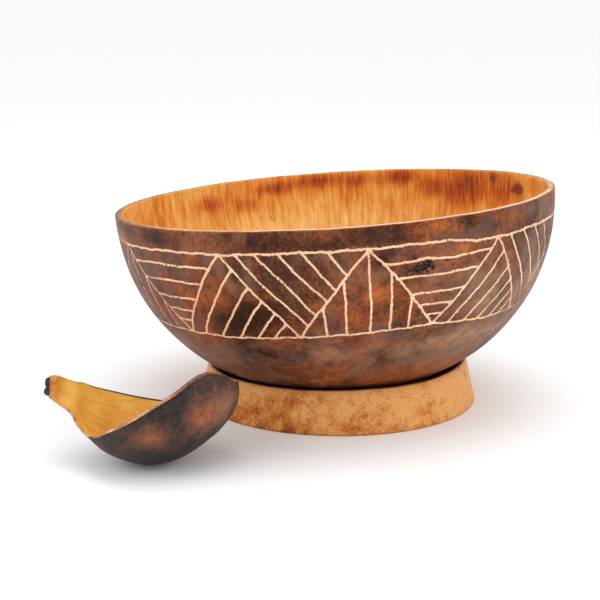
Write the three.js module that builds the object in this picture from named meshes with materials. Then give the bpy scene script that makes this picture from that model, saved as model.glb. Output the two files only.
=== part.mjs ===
// A calabash set: an engraved gourd bowl, the gourd hoop that it stands in, and a small gourd
// scoop with the stump of its stalk. Millimetres, +Z up, -Y is the front. The origin is on the
// ground, under the middle of the set's bounding box.
import * as THREE from 'three';
import { mergeVertices } from 'three/addons/utils/BufferGeometryUtils.js';
import { ParametricGeometry } from 'three/addons/geometries/ParametricGeometry.js';

const RAD = Math.PI / 180;

// Bowl: half of a large gourd, measured down from the plane of its rim.
const BOWL_RADIUS = 150;
const BOWL_DEPTH = 132;
const BOWL_RIM_WALL = 5.5;
const BOWL_FLOOR_WALL = 7;
const BOWL_DEPTH_POWER = 2.1;
const BOWL_RADIUS_POWER = 2.2;
const BOWL_LEAN = 0.016;
const BOWL_RIM_CENTRE = new THREE.Vector3(-2.9, 0.9, 140.4);
const BOWL_TILT_RIGHT = 3.9 * RAD;
const BOWL_TILT_FRONT = 1.2 * RAD;
const BOWL_SEGMENTS = 72;
const BOWL_RINGS = 18;

// Ring stand: a tapered hoop cut from the neck of a gourd, a little higher on the right, with
// a worn dip in its top edge at the front right.
const STAND_BASE_RADIUS = 96.8;
const STAND_TOP_RADIUS = 90.3;
const STAND_HEIGHT = 28.4;
const STAND_BASE_WALL = 4.4;
const STAND_TOP_WALL = 3.2;
const STAND_TILT = 1.5 * RAD;
const STAND_EDGE = 0.9;
const STAND_DIP = 1;
const STAND_DIP_TURN = 45 * RAD;
const STAND_SEGMENTS = 72;

// Scoop: a pear-shaped gourd on its side. Each station gives the distance along its axis from
// the fullest section, the radius there and how far the neck rises. "near" and "far" are where
// the two edges of the hand-cut mouth lie on the skin, in degrees from straight down (+ towards
// the front), and "lip" is how much further round the near edge lies on the inside.
const SCOOP_STATIONS = [
  { along: -60, radius: 6.6, rise: 2, near: 20, lip: 0, far: -150 },
  { along: -53, radius: 11, rise: 1.2, near: 20, lip: 0, far: -110 },
  { along: -47, radius: 14.8, rise: 0.5, near: 20, lip: 0, far: -92 },
  { along: -43, radius: 21.5, rise: 0.2, near: 21, lip: 0, far: -85 },
  { along: -36, radius: 29, rise: 0, near: 36, lip: 1, far: -77 },
  { along: -22, radius: 39.5, rise: 0, near: 65, lip: 2, far: -71 },
  { along: 0, radius: 45.5, rise: 0, near: 86.5, lip: 1.8, far: -66 },
  { along: 20, radius: 41, rise: 0, near: 102, lip: 2.8, far: -65 },
  { along: 37, radius: 30, rise: 0, near: 123.5, lip: 3.6, far: -80 },
  { along: 47, radius: 19.5, rise: 0, near: 131.5, lip: 1.5, far: -95 },
  { along: 53, radius: 9, rise: 0, near: 136, lip: 0.5, far: -110 },
  { along: 54.5, radius: 0, rise: 0, near: 180, lip: 0, far: -180 },
];
const SCOOP_WALL = 3.2;
const SCOOP_CENTRE = new THREE.Vector2(-117, -146);
const SCOOP_STEPS = 30;
const SCOOP_ARC_STEPS = 18;

// Stalk stump on the scoop's neck: two knobs that run into each other, one above the other.
const STEM_THICKNESS = 1.6;
const STEM_BEVEL = 0.5;
const STEM_UPPER_KNOB = 3.6;
const STEM_LOWER_KNOB = 2.9;
const STEM_KNOB_SPACING = 5.5;
const STEM_GAP = 0.3;

const gourdSkin = new THREE.MeshStandardMaterial({ color: 0x4a2e22, roughness: 0.42, metalness: 0 });
const paleGourd = new THREE.MeshStandardMaterial({ color: 0xc98345, roughness: 0.6, metalness: 0 });
const scoopSkin = new THREE.MeshStandardMaterial({ color: 0x4b3a35, roughness: 0.5, metalness: 0 });
const stalkWood = new THREE.MeshStandardMaterial({ color: 0x2b2522, roughness: 0.8, metalness: 0 });

// Keeps only the welded positions of a geometry and drops the faces that collapse at its poles.
function weld(geometry) {
  geometry.deleteAttribute('normal');
  geometry.deleteAttribute('uv');
  const welded = mergeVertices(geometry, 1e-4);
  const index = welded.index.array;
  const kept = [];
  for (let i = 0; i < index.length; i += 3) {
    const [a, b, c] = [index[i], index[i + 1], index[i + 2]];
    if (a !== b && b !== c && c !== a) kept.push(a, b, c);
  }
  welded.setIndex(kept);
  welded.computeVertexNormals();
  return welded;
}

// Moves every point of a geometry by a function that changes the vector it is given.
function reshape(geometry, change) {
  const position = geometry.attributes.position;
  const point = new THREE.Vector3();
  for (let i = 0; i < position.count; i += 1) {
    point.fromBufferAttribute(position, i);
    change(point);
    position.setXYZ(i, point.x, point.y, point.z);
  }
  return geometry;
}

// The curve of one face of the bowl, from the axis at its floor up to the plane of the rim.
function bowlFace(radius, depth) {
  const points = [];
  for (let i = 0; i <= BOWL_RINGS; i += 1) {
    const drop = depth * Math.cos((i / BOWL_RINGS) * Math.PI / 2);
    const share = 1 - (drop / depth) ** BOWL_DEPTH_POWER;
    points.push(new THREE.Vector2(radius * share ** (1 / BOWL_RADIUS_POWER), -drop));
  }
  return points;
}

function makeBowl() {
  const outside = bowlFace(BOWL_RADIUS, BOWL_DEPTH);
  const inside = bowlFace(BOWL_RADIUS - BOWL_RIM_WALL, BOWL_DEPTH - BOWL_FLOOR_WALL);
  const lip = new THREE.Vector2(BOWL_RADIUS - BOWL_RIM_WALL / 2, BOWL_RIM_WALL / 8);
  const profile = [...outside, lip, ...inside.reverse()];
  const geometry = new THREE.LatheGeometry(profile, BOWL_SEGMENTS).rotateX(Math.PI / 2);
  reshape(geometry, (point) => { point.x -= BOWL_LEAN * point.z; });
  const bowl = new THREE.Mesh(weld(geometry), gourdSkin);
  bowl.name = 'bowl';
  bowl.rotation.set(-BOWL_TILT_FRONT, -BOWL_TILT_RIGHT, 0, 'YXZ');
  bowl.position.copy(BOWL_RIM_CENTRE);
  return bowl;
}

function makeRingStand() {
  const inTop = STAND_TOP_RADIUS - STAND_TOP_WALL;
  const inBase = STAND_BASE_RADIUS - STAND_BASE_WALL;
  const profile = [
    [inBase, 0],
    [STAND_BASE_RADIUS, 0],
    [(STAND_BASE_RADIUS + STAND_TOP_RADIUS) / 2, STAND_HEIGHT / 2],
    [STAND_TOP_RADIUS, STAND_HEIGHT - STAND_EDGE],
    [STAND_TOP_RADIUS - STAND_EDGE, STAND_HEIGHT],
    [inTop + STAND_EDGE, STAND_HEIGHT],
    [inTop, STAND_HEIGHT - STAND_EDGE],
    [(inBase + inTop) / 2, STAND_HEIGHT / 2],
    [inBase, 0],
  ].map(([radius, height]) => new THREE.Vector2(radius, height));
  const geometry = new THREE.LatheGeometry(profile, STAND_SEGMENTS).rotateX(Math.PI / 2);
  reshape(geometry, (point) => {
    const turn = Math.atan2(point.x, -point.y) - STAND_DIP_TURN;
    const dip = STAND_DIP * Math.max(0, Math.cos(turn)) ** 6;
    point.z += (point.z / STAND_HEIGHT) * (point.x * Math.tan(STAND_TILT) - dip);
  });
  const stand = new THREE.Mesh(weld(geometry), paleGourd);
  stand.name = 'ring_stand';
  return stand;
}

// A point of the scoop's shell: "t" runs from the stalk to the far end, "turn" in degrees from
// straight down, and "inset" is the depth below the skin, 0 on the outside.
function scoopPoint(profile, t, turn, inset, target) {
  const centre = profile.getPoint(t);
  const along = profile.getTangent(t);
  const slope = Math.hypot(along.x, along.y);
  const radius = Math.max(0, centre.y - (inset * along.x) / slope);
  target.set(
    centre.x + (inset * along.y) / slope,
    -radius * Math.sin(turn * RAD),
    centre.z - radius * Math.cos(turn * RAD),
  );
}

function makeScoop() {
  const profile = new THREE.CatmullRomCurve3(
    SCOOP_STATIONS.map((s) => new THREE.Vector3(s.along, s.radius, s.rise)), false, 'catmullrom', 0.5,
  );
  const mouth = new THREE.CatmullRomCurve3(
    SCOOP_STATIONS.map((s) => new THREE.Vector3(s.near, s.far, s.lip)), false, 'catmullrom', 0.5,
  );
  const loopSteps = 2 * SCOOP_ARC_STEPS + 2;
  // One trip round the loop: the outside from the near edge to the far one, then back inside.
  // The first row closes the cut end of the neck halfway through the wall.
  const surface = (u, v, target) => {
    const step = Math.round(u * loopSteps) % loopSteps;
    const outside = step <= SCOOP_ARC_STEPS;
    const share = outside ? step / SCOOP_ARC_STEPS : (loopSteps - 1 - step) / SCOOP_ARC_STEPS;
    const row = Math.round(v * (SCOOP_STEPS + 1));
    const t = Math.max(0, row - 1) / SCOOP_STEPS;
    const edges = mouth.getPoint(t);
    const nearEdge = edges.x + (outside ? 0 : edges.z);
    const turn = THREE.MathUtils.lerp(nearEdge, edges.y, share);
    const inset = outside ? 0 : SCOOP_WALL;
    scoopPoint(profile, t, turn, row === 0 ? SCOOP_WALL / 2 : inset, target);
  };
  const geometry = weld(new ParametricGeometry(surface, loopSteps, SCOOP_STEPS + 1));
  geometry.computeBoundingBox();
  const scoop = new THREE.Mesh(geometry, scoopSkin);
  scoop.name = 'scoop';
  scoop.position.set(SCOOP_CENTRE.x, SCOOP_CENTRE.y, -geometry.boundingBox.min.z);
  return scoop;
}

function makeScoopStem(scoop) {
  const upperReach = (STEM_KNOB_SPACING ** 2 + STEM_UPPER_KNOB ** 2 - STEM_LOWER_KNOB ** 2)
    / (2 * STEM_KNOB_SPACING);
  const upperHalf = Math.acos(upperReach / STEM_UPPER_KNOB);
  const lowerHalf = Math.acos((STEM_KNOB_SPACING - upperReach) / STEM_LOWER_KNOB);
  const upperHeight = (STEM_KNOB_SPACING + STEM_LOWER_KNOB - STEM_UPPER_KNOB) / 2;
  const down = -Math.PI / 2;
  const outline = new THREE.Shape();
  outline.absarc(0, upperHeight, STEM_UPPER_KNOB, down + upperHalf, 3 * -down - upperHalf);
  outline.absarc(0, upperHeight - STEM_KNOB_SPACING, STEM_LOWER_KNOB,
    lowerHalf - down, 5 * -down - lowerHalf);
  const geometry = new THREE.ExtrudeGeometry(outline, {
    depth: STEM_THICKNESS,
    bevelSize: STEM_BEVEL,
    bevelThickness: STEM_BEVEL,
    bevelSegments: 2,
    curveSegments: 12,
  });
  // The outline stands upright and its thickness runs along the scoop.
  geometry.applyMatrix4(new THREE.Matrix4().makeBasis(
    new THREE.Vector3(0, 1, 0), new THREE.Vector3(0, 0, 1), new THREE.Vector3(1, 0, 0),
  ));
  const stem = new THREE.Mesh(weld(geometry), stalkWood);
  stem.name = 'scoop_stem';
  const neck = SCOOP_STATIONS[0];
  stem.position.copy(scoop.position);
  stem.position.x += neck.along - STEM_GAP - STEM_BEVEL - STEM_THICKNESS;
  stem.position.z += neck.rise;
  return stem;
}

const set = new THREE.Group();
const scoop = makeScoop();
set.add(makeBowl(), makeRingStand(), scoop, makeScoopStem(scoop));
set.updateMatrixWorld(true);
const middle = new THREE.Box3().setFromObject(set, true).getCenter(new THREE.Vector3());
set.position.set(-middle.x, -middle.y, 0);
set.updateMatrixWorld(true);

export default set;
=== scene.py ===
import math

import bmesh
import bpy
import numpy as np
from mathutils import Matrix, Vector


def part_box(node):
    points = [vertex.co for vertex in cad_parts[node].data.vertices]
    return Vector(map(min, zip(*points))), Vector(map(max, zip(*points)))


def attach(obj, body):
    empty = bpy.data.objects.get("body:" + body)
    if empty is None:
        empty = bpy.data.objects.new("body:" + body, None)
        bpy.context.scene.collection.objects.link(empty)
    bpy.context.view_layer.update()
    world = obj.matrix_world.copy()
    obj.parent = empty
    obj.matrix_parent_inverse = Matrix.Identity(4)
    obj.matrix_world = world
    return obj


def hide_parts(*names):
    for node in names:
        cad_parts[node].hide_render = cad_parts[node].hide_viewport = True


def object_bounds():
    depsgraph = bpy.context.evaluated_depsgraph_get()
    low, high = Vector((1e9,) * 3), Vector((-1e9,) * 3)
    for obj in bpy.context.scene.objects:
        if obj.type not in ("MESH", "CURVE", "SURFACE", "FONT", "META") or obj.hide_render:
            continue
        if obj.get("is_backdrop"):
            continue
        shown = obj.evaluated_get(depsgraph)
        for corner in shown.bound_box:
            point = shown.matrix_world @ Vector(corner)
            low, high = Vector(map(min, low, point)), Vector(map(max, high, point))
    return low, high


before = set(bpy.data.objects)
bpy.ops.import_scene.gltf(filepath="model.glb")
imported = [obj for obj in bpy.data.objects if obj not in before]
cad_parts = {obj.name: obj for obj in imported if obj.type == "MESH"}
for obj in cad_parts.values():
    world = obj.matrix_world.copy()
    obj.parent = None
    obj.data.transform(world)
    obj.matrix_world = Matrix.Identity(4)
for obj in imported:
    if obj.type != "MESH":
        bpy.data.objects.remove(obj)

MM = 0.001
CAD_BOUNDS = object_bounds()
RNG = np.random.default_rng(11)

# Bowl. "Drop" is the depth below the plane of the rim, and "turn" the angle round from the front.
BOWL_RADIUS = 150
BOWL_DEPTH = 132
BOWL_RIM_WALL = 5.5
BOWL_FLOOR_WALL = 7
BOWL_DEPTH_POWER = 2.1
BOWL_RADIUS_POWER = 2.2
BOWL_LEAN = 0.016
BOWL_RIM_CENTRE = (-2.9, 0.9, 140.4)
BOWL_TILT_RIGHT = math.radians(3.9)
BOWL_TILT_FRONT = math.radians(1.2)
LIP_CROWN = 0.7
LIP_STEPS = 7
LIP_BLUNTNESS = 0.55
LIP_SKIN_STEPS = 3
LIP_BARE_STEPS = 5
BAND_TOP = 9.5
BAND_BOTTOM = 73
BAND_COLUMNS = 960
BAND_SPACING = 1.05
COARSE_SPACING = 3
COARSE_ROWS = 46
RIM_ROWS = 5
INSIDE_SPACING = 3.4
ROW_POINTS = ((22, 60), (55, 120), (math.inf, 240))
FACE_SAMPLES = 3001
GRAIN_SQUEEZE = 0.16

# Engraving: two borders with ten upright triangles between them, and ten hanging ones.
UPPER_BORDER = [(-120, 14), (-60, 13.5), (-29, 13.2), (0, 12.6), (25, 13.2), (34, 15.8), (44, 16.6),
                (60, 15.2), (120, 15)]
LOWER_BORDER = [(-120, 69), (-48, 68.5), (-12, 68), (5, 66.6), (25, 66.6), (45, 69.8), (70, 70),
                (120, 69)]
TOP_CORNERS = [6.3, 40.7, 78, 114, 150, 186, 222, 258, 294, 330.3]
BOTTOM_CORNERS = [-12.3, 23, 54, 96, 132, 168, 204, 240, 276, 312.5]
UPRIGHT_SHARES = (0.2, 0.35, 0.52, 0.67, 0.81)
LEVEL_DROPS = (23, 33, 44, 52.5, 59.5)
SLANT_BASE_SHARES = (0.16, 0.34, 0.5, 0.66, 0.79)
SLANT_SIDE_SHARES = (0.18, 0.38, 0.54, 0.69, 0.82)
HANGING_TOP_SHARES = (0.12, 0.265, 0.42, 0.57, 0.735)
HANGING_SIDE_SHARES = (0.145, 0.27, 0.43, 0.56, 0.72)
KNIFE_DRIFT = ((43, 0.32), (13, 0.16), (5.3, 0.09))
KNIFE_BOW = 0.7
KNIFE_BOW_LENGTH = 50
BORDER_SAMPLES = 481
BORDER_UNEVEN = ((11, 0.25), (29, 0.22), (71, 0.2), (173, 0.12))
STROKE_STEP = 2
CUT_DEPTH = 0.5
CUT_REACH = 3
SNAP = 0.34

# The scar of a stalk in the engraving: its turn, its drop, and its half-width and half-height.
SCAR = (19, 27, 8.5, 4)

# How cuts step up over the scar: turn and drop of the place, half-width, half-height and size.
OVER_SCAR = (20, 23, 3.2, 3, 1.2)

# Soft patches of colour on the skin: turn, drop, half-width in degrees, half-height and strength.
PATCH_SOFTNESS = 1.4
SKIN_PATCHES = {
    "warm": [(-35, 42, 6, 5, 0.9), (-20, 40, 4, 4, 0.7), (-5, 47, 7, 10, 0.5), (8, 43, 3, 5, 0.7),
             (2, 57, 5, 6, 0.5), (31, 19, 6, 4, 0.6), (20, 48, 6, 8, 0.35), (24, 4, 6, 4, 0.9),
             (45, 5, 5, 3, 0.7), (-7, 4, 6, 4, 0.6), (-18, 75, 6, 5, 0.5), (15, 104, 14, 9, 0.5),
             (-15, 98, 12, 8, 0.5), (17, 76, 7, 6, 0.35), (44, 92, 12, 10, 0.3),
             (110, 45, 12, 14, 0.6), (160, 30, 9, 8, 0.7), (-150, 60, 14, 12, 0.6),
             (-100, 35, 9, 12, 0.5), (135, 95, 16, 10, 0.6), (-120, 100, 18, 10, 0.6)],
    "soot": [(-50, 5, 5, 4, 0.9), (-64, 4, 5, 4, 0.8), (-25, 56, 9, 12, 1.0), (-14, 30, 9, 12, 0.2),
             (8, 3, 6, 4, 0.7), (31, 3, 3, 3, 0.7), (10, 19, 3, 5, 0.5), (26, 77, 5, 5, 0.6),
             (47, 84, 1.5, 2, 0.9), (-24, 80, 7, 5, 0.5), (-30, 101, 14, 8, 0.35),
             (-2, 114, 25, 6, 0.5), (-3, 7, 20, 4, 0.6), (90, 25, 12, 12, 0.5),
             (140, 62, 10, 10, 0.6), (-170, 20, 12, 10, 0.6), (-110, 72, 12, 10, 0.5),
             (170, 100, 20, 12, 0.5)],
    # The pale patches are partly dust and partly painted sheen: the soft grey reflection on the bowl's
    # sides.
    "dust": [(40, 82, 20, 12, 1.0), (60, 60, 13, 25, 0.9), (10, 84, 16, 8, 0.6),
             (38, 50, 9, 16, 0.7), (-22, 88, 24, 9, 0.35), (0, 82, 18, 7, 0.6),
             (-32, 102, 14, 9, 0.55), (-58, 84, 16, 12, 0.6), (-55, 28, 14, 10, 0.35),
             (28, 42, 10, 12, 0.4), (100, 80, 22, 14, 0.6), (-140, 85, 22, 12, 0.6),
             (150, 45, 16, 14, 0.5)],
    "worn": [(-80, 40, 16, 60, 0.8), (-57, 48, 9, 26, 0.55), (-62, 66, 10, 8, 0.5),
             (62, 64, 8, 12, 1.0), (52, 70, 6, 3, 0.6), (78, 40, 12, 60, 0.4),
             (120, 68, 14, 6, 0.5), (-130, 15, 12, 5, 0.5)],
}
LIP_BARE = [(20, 0, 75, 9, 1.0), (-100, 0, 12, 9, 0.4), (150, 0, 14, 9, 0.5), (-160, 0, 9, 9, 0.4)]
INSIDE_PATCHES = {
    "warm": [(-139, 14, 7, 6, 0.7), (-152, 18, 6, 8, 0.6), (-163, 8, 9, 5, 0.8),
             (-176, 5, 8, 5, 0.9), (170, 6, 8, 5, 0.7), (158, 5, 7, 6, 0.9), (148, 12, 6, 10, 0.7),
             (134, 14, 9, 14, 0.8), (119, 10, 9, 10, 0.7), (100, 6, 8, 7, 0.5),
             (-20, 70, 20, 16, 0.4), (60, 50, 14, 18, 0.4)],
    "soot": [(124, 4, 2, 4, 0.9), (111, 10, 3.6, 4, 1.0), (113.5, 12, 2, 2, 0.9),
             (136, 12, 2, 3, 0.6), (-160, 30, 1.6, 3, 0.6)],
}

# Ring stand.
STAND_BASE_RADIUS = 96.8
STAND_TOP_RADIUS = 90.3
STAND_HEIGHT = 28.4
STAND_BASE_WALL = 4.4
STAND_TOP_WALL = 3.2
STAND_TILT = math.radians(1.5)
STAND_DIP = 1
STAND_DIP_TURN = math.radians(45)
STAND_EDGE = 1.4
STAND_WEAR = 0.3
STAND_COLUMNS = 360
STAND_WALL_STEPS = 14
STAND_EDGE_STEPS = 7

# Scoop: along its axis, radius, rise of the neck, near edge of the mouth, extra turn of that
# edge on the inside, and far edge. Edges are in degrees from straight down, + to the front.
SCOOP_STATIONS = [
    (-60, 6.6, 2, 20, 0, -150),
    (-53, 11, 1.2, 20, 0, -110),
    (-47, 14.8, 0.5, 20, 0, -92),
    (-43, 21.5, 0.2, 21, 0, -85),
    (-36, 29, 0, 36, 1, -77),
    (-22, 39.5, 0, 65, 2, -71),
    (0, 45.5, 0, 86.5, 1.8, -66),
    (20, 41, 0, 102, 2.8, -65),
    (37, 30, 0, 123.5, 3.6, -80),
    (47, 19.5, 0, 131.5, 1.5, -95),
    (53, 9, 0, 138, 0.5, -102),
    (54.2, 3, 0, 215, 0, -145),
]
SCOOP_TIP = 54.5
SCOOP_WALL = 3.2
SCOOP_CENTRE = (-117, -146, 45.5)
SCOOP_ROWS = 154
SCOOP_FACE_STEPS = 84
SCOOP_EDGE_STEPS = 5
SCOOP_EDGE_SHARE = 0.42
SCOOP_EDGE_TAPER = 10
SCOOP_FAR_LIP = 1.6
NECK_SOLID = -59.5
NECK_HOLLOW = -56
NECK_FILLED = 0.97
SCOOP_HOLLOWS = 0.3

# Patches on the scoop's skin: turn, along, half-turn, half-length and strength.
SCOOP_PATCHES = {
    "warm": [(69, 6, 9, 9, 1.2), (78, 37, 18, 12, 1.2), (30, -20, 12, 8, 0.4),
             (90, 50, 30, 5, 0.6), (-30, 10, 20, 15, 0.6), (0, -45, 25, 8, 0.5)],
    "soot": [(96, 22, 14, 12, 0.9), (40, -8, 14, 12, 0.5), (40, 20, 16, 14, 0.7),
             (10, -30, 18, 10, 0.6), (-10, 0, 25, 20, 0.5)],
    # The pale patches are partly dust and partly painted sheen.
    "dust": [(76, 47, 30, 7, 1.0), (62, 36, 12, 9, 0.5), (-20, 22, 30, 16, 0.5)],
}

# Stalk stump: two knobs that run into each other, one above the other.
STEM_UPPER_KNOB = 3.6
STEM_LOWER_KNOB = 2.9
STEM_KNOB_SPACING = 5.5
STEM_UPPER_STANDOFF = 2.3
STEM_LOWER_STANDOFF = 3.2
STEM_WAIST = 1.9
STEM_BEDDED = 0.3
STEM_LEAST_RISE = 0.8
STEM_COLUMNS = 96
STEM_ROWS = 28

# Camera, relative to the middle of the stand's foot.
CAMERA_PLACE = (-26.1, -953.9, 283)
CAMERA_PITCH = math.radians(12.71)
CAMERA_LENS = 83.9
SENSOR_WIDTH = 36

# Studio, in metres. Each light has its name, place, size and power.
FLOOR_HALF = 28
FLOOR_GAP = 0.0002
FLOOR_COLOUR = (0.95, 0.95, 0.95, 1)
WORLD_STRENGTH = 1.0
LIGHT_TARGET = (0, 0, 0.06)
LIGHTS = [("top_box", (0.1, 0.1, 1.4), 1.2, 6), ("left_box", (-1.1, -0.7, 0.9), 0.9, 4),
          ("right_box", (1.2, -0.4, 0.8), 0.8, 4)]


def stand_centre():
    """The middle of the stand's foot, in millimetres in the row frame."""
    low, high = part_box("ring_stand")
    return np.array([(low.x + high.x) / 2, (low.y + high.y) / 2, low.z]) / MM


ORIGIN = stand_centre()


# ------------------------ small helpers

def smoothstep(low, high, value):
    """0 below low, 1 above high, and a smooth rise between them."""
    share = np.clip((value - low) / (high - low), 0, 1)
    return share * share * (3 - 2 * share)


def circle_columns(count):
    """Turns in degrees of a row of points that goes once round."""
    return np.arange(count) * 360 / count


def turn_gap(turn, centre):
    """Signed difference of two turns, the short way round, in degrees."""
    return (turn - centre + 180) % 360 - 180


def patches(turn, drop, spots):
    """How much of a soft patch of colour there is at each point, from 0 to 1."""
    amount = np.zeros(np.broadcast(turn, drop).shape)
    for centre, middle, width, height, strength in spots:
        reach = (turn_gap(turn, centre) / width) ** 2 + ((drop - middle) / height) ** 2
        amount = np.maximum(amount, strength * np.exp(-reach / PATCH_SOFTNESS))
    return amount


def patch_values(turn, drop, tables):
    """The amount of each kind of patch, from named tables of them."""
    return {name: patches(turn, drop, spots) for name, spots in tables.items()}


def waves(turn, drop, terms):
    """A sum of slow waves round and down a gourd: (size, lobes round, length down, phase)."""
    around = np.radians(turn)
    total = np.zeros(np.broadcast(turn, drop).shape)
    for size, lobes, length, phase in terms:
        total += size * np.sin(lobes * around + drop / length + phase)
    return total


def strip(first, count, second, other):
    """Faces between two rows of points. One row may have twice the points of the other."""
    steps = np.arange(min(count, other))
    ahead = steps + 1
    if count == other:
        quads = [first + steps, first + ahead % count, second + ahead % count, second + steps]
        return np.stack(quads, 1).tolist()
    flip = count < other
    if flip:
        first, count, second, other = second, other, first, count
    ends = [first + 2 * steps, first + 2 * steps + 1, first + 2 * ahead % count]
    tops = [second + steps, second + ahead % other]
    corners = [(ends[0], ends[1], tops[0]), (ends[1], tops[1], tops[0]), (ends[1], ends[2], tops[1])]
    order = -1 if flip else 1
    return np.concatenate([np.stack(corner[::order], 1) for corner in corners]).tolist()


class Skin:
    """Rows of points, each once round, joined into one closed surface."""

    def __init__(self, names):
        self.rows = []
        self.points = []
        self.faces = []
        self.slots = []
        self.values = {name: [] for name in names}
        self.count = 0

    def add(self, points, slot=0, **values):
        """Adds a row of points and joins it to the row before it. slot is the faces' material."""
        start = self.count
        self.points.append(points)
        self.count += len(points)
        for name, stored in self.values.items():
            stored.append(np.broadcast_to(values.get(name, 0), len(points)))
        if self.rows:
            self.join(self.rows[-1], (start, len(points)), slot)
        self.rows.append((start, len(points)))

    def join(self, lower, upper, slot):
        """Fills between two rows, with a fan where one of them is a single point."""
        if 1 in (lower[1], upper[1]):
            flip = lower[1] == 1
            (start, count), (pole, _) = (upper, lower) if flip else (lower, upper)
            steps = np.arange(count)
            fan = [start + steps, start + (steps + 1) % count, np.full(count, pole)]
            made = np.stack(fan[::-1] if flip else fan, 1).tolist()
        else:
            made = strip(lower[0], lower[1], upper[0], upper[1])
        self.faces += made
        self.slots += [slot] * len(made)

    def piece(self, name, *materials):
        """The mesh object of all the rows."""
        points = np.concatenate(self.points)
        values = {label: np.concatenate(stored) for label, stored in self.values.items()}
        return make_piece(name, points, self.faces, materials, self.slots, values)


def make_piece(name, points, faces, materials, slots, values):
    """A smooth mesh object from points in millimetres in the row frame."""
    mesh = bpy.data.meshes.new(name)
    mesh.from_pydata((points * MM).tolist(), [], faces)
    for material in materials:
        mesh.materials.append(material)
    mesh.polygons.foreach_set("material_index", np.array(slots, np.int32))
    mesh.polygons.foreach_set("use_smooth", np.ones(len(faces), bool))
    for label, value in values.items():
        attribute = mesh.attributes.new(label, "FLOAT", "POINT")
        attribute.data.foreach_set("value", np.asarray(value, np.float32))
    tidy = bmesh.new()
    tidy.from_mesh(mesh)
    bmesh.ops.remove_doubles(tidy, verts=tidy.verts, dist=1e-6)
    bmesh.ops.dissolve_degenerate(tidy, edges=tidy.edges, dist=1e-6)
    tidy.to_mesh(mesh)
    tidy.free()
    mesh.update()
    piece = bpy.data.objects.new(name, mesh)
    bpy.context.scene.collection.objects.link(piece)
    return piece


def stand_for(piece, node, body):
    """The piece takes a CAD node's place and moves with its body."""
    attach(piece, body)
    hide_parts(node)


# ------------------------ engraving

def border(turn, stations):
    """The drop of a border at a turn, from listed stations."""
    turns, drops = zip(*stations)
    return np.interp(turn, turns, drops, period=360)


def between(first, second, share):
    """A point part of the way from one (turn, drop) to another."""
    return tuple(a + (b - a) * share for a, b in zip(first, second))


def over_scar(turn, drop):
    """Cuts step up a little where they pass the scar."""
    centre, middle, width, height, size = OVER_SCAR
    near = np.exp(-((turn_gap(turn, centre) / width) ** 2 + ((drop - middle) / height) ** 2))
    return drop - size * near


def stroke(start, end):
    """One cut by hand from one (turn, drop) to another, as a run of turns and drops."""
    across = math.radians(end[0] - start[0]) * BOWL_RADIUS
    down = end[1] - start[1]
    length = math.hypot(across, down)
    share = np.linspace(0, 1, max(3, round(length / STROKE_STEP)))
    drift = np.zeros_like(share)
    for wavelength, size in KNIFE_DRIFT:
        phase = RNG.uniform(0, 2 * math.pi)
        drift += size * np.sin(2 * math.pi * share * length / wavelength + phase)
    bow = RNG.uniform(-KNIFE_BOW, KNIFE_BOW) * np.sin(math.pi * share) * length / KNIFE_BOW_LENGTH
    side = (drift + bow) * smoothstep(0, 0.05, share) * smoothstep(1, 0.95, share)
    turn = start[0] + (end[0] - start[0]) * share + np.degrees(side * down / length / BOWL_RADIUS)
    drop = start[1] + down * share - side * across / length
    return turn, over_scar(turn, drop)


def border_stroke(stations):
    """A border, cut once round the bowl."""
    turn = np.linspace(0, 360, BORDER_SAMPLES)
    around = np.radians(turn)
    drop = border(turn, stations)
    for lobes, size in BORDER_UNEVEN:
        drop = drop + size * np.sin(lobes * around + RNG.uniform(0, 2 * math.pi))
    return turn, drop


def upright_hatch(left, apex, right):
    """Upright cuts in an upright triangle, from its sides down to the lower border."""
    for share in UPRIGHT_SHARES:
        turn = left[0] + (right[0] - left[0]) * share
        if turn < apex[0]:
            start = between(left, apex, (turn - left[0]) / (apex[0] - left[0]))
        else:
            start = between(right, apex, (right[0] - turn) / (right[0] - apex[0]))
        yield stroke(start, (turn, border(turn, LOWER_BORDER)))


def slanted_hatch(left, apex, right):
    """Cuts in an upright triangle that run beside its left side."""
    for side, base in zip(SLANT_SIDE_SHARES, SLANT_BASE_SHARES):
        turn = left[0] + (right[0] - left[0]) * base
        end = (turn, border(turn, LOWER_BORDER))
        yield stroke(between(apex, right, side), end)


def level_hatch(left, foot, right):
    """Level cuts in a hanging triangle, from side to side."""
    for drop in LEVEL_DROPS:
        start = between(left, foot, (drop - left[1]) / (foot[1] - left[1]))
        end = between(right, foot, (drop - right[1]) / (foot[1] - right[1]))
        yield stroke(start, end)


def hanging_hatch(left, foot, right):
    """Cuts in a hanging triangle that run beside its left side."""
    for top, side in zip(HANGING_TOP_SHARES, HANGING_SIDE_SHARES):
        turn = left[0] + (right[0] - left[0]) * top
        start = (turn, border(turn, UPPER_BORDER))
        yield stroke(start, between(foot, right, side))


def corner(turns, index, stations):
    """A corner of the triangles as (turn, drop). Indexes past the last one go on round."""
    laps, place = divmod(index, len(turns))
    turn = turns[place] + 360 * laps
    return turn, border(turn, stations)


def engraving():
    """Every cut in the band. The hatching alternates from triangle to triangle."""
    cuts = [border_stroke(UPPER_BORDER), border_stroke(LOWER_BORDER)]
    for index in range(len(TOP_CORNERS)):
        left = corner(BOTTOM_CORNERS, index, LOWER_BORDER)
        apex = corner(TOP_CORNERS, index, UPPER_BORDER)
        right = corner(BOTTOM_CORNERS, index + 1, LOWER_BORDER)
        next_apex = corner(TOP_CORNERS, index + 1, UPPER_BORDER)
        cuts += [stroke(left, apex), stroke(apex, right)]
        even = index % 2 == 0
        cuts += upright_hatch(left, apex, right) if even else slanted_hatch(left, apex, right)
        cuts += level_hatch(apex, right, next_apex) if even else hanging_hatch(apex, right, next_apex)
    return cuts


# ------------------------ bowl

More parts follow.
